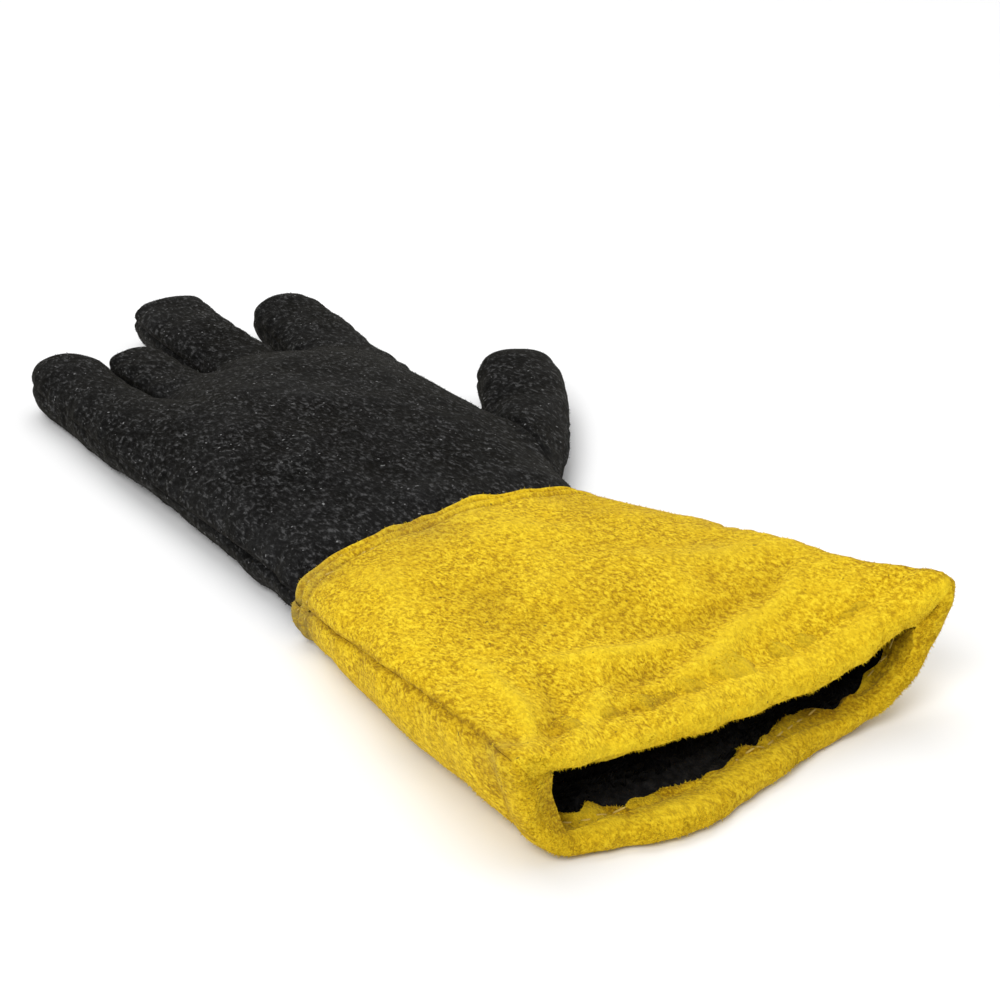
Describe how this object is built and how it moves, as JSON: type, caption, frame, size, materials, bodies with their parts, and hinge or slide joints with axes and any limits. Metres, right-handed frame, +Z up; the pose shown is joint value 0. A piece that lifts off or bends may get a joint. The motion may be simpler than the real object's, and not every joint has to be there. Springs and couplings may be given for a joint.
{
  "type": "welding gauntlet",
  "caption": "Left-hand split-leather work gauntlet with a wide lined cuff, lying on its palm, hollow from the mouth to the fingertips.",
  "frame": {"origin": "middle of the glove's footprint, on the surface that it lies on", "axes": "+Y from the cuff's mouth to the fingertips, +X towards the thumb's side, +Z up out of the back of the hand"},
  "size_m": [0.1712, 0.3644, 0.0337],
  "materials": {
    "yellow_suede": "golden yellow cow split, napped, matt",
    "black_suede": "black cow split, napped, matt",
    "fleece_lining": "dark deep-pile fleece"
  },
  "bodies": {
    "root": {"cuff_back": "yellow_suede", "cuff_palm": "yellow_suede", "hand_back": "black_suede", "hand_palm": "black_suede", "thumb_back": "black_suede", "thumb_palm": "black_suede", "cuff_lining": "fleece_lining"}
  },
  "joints": []
}
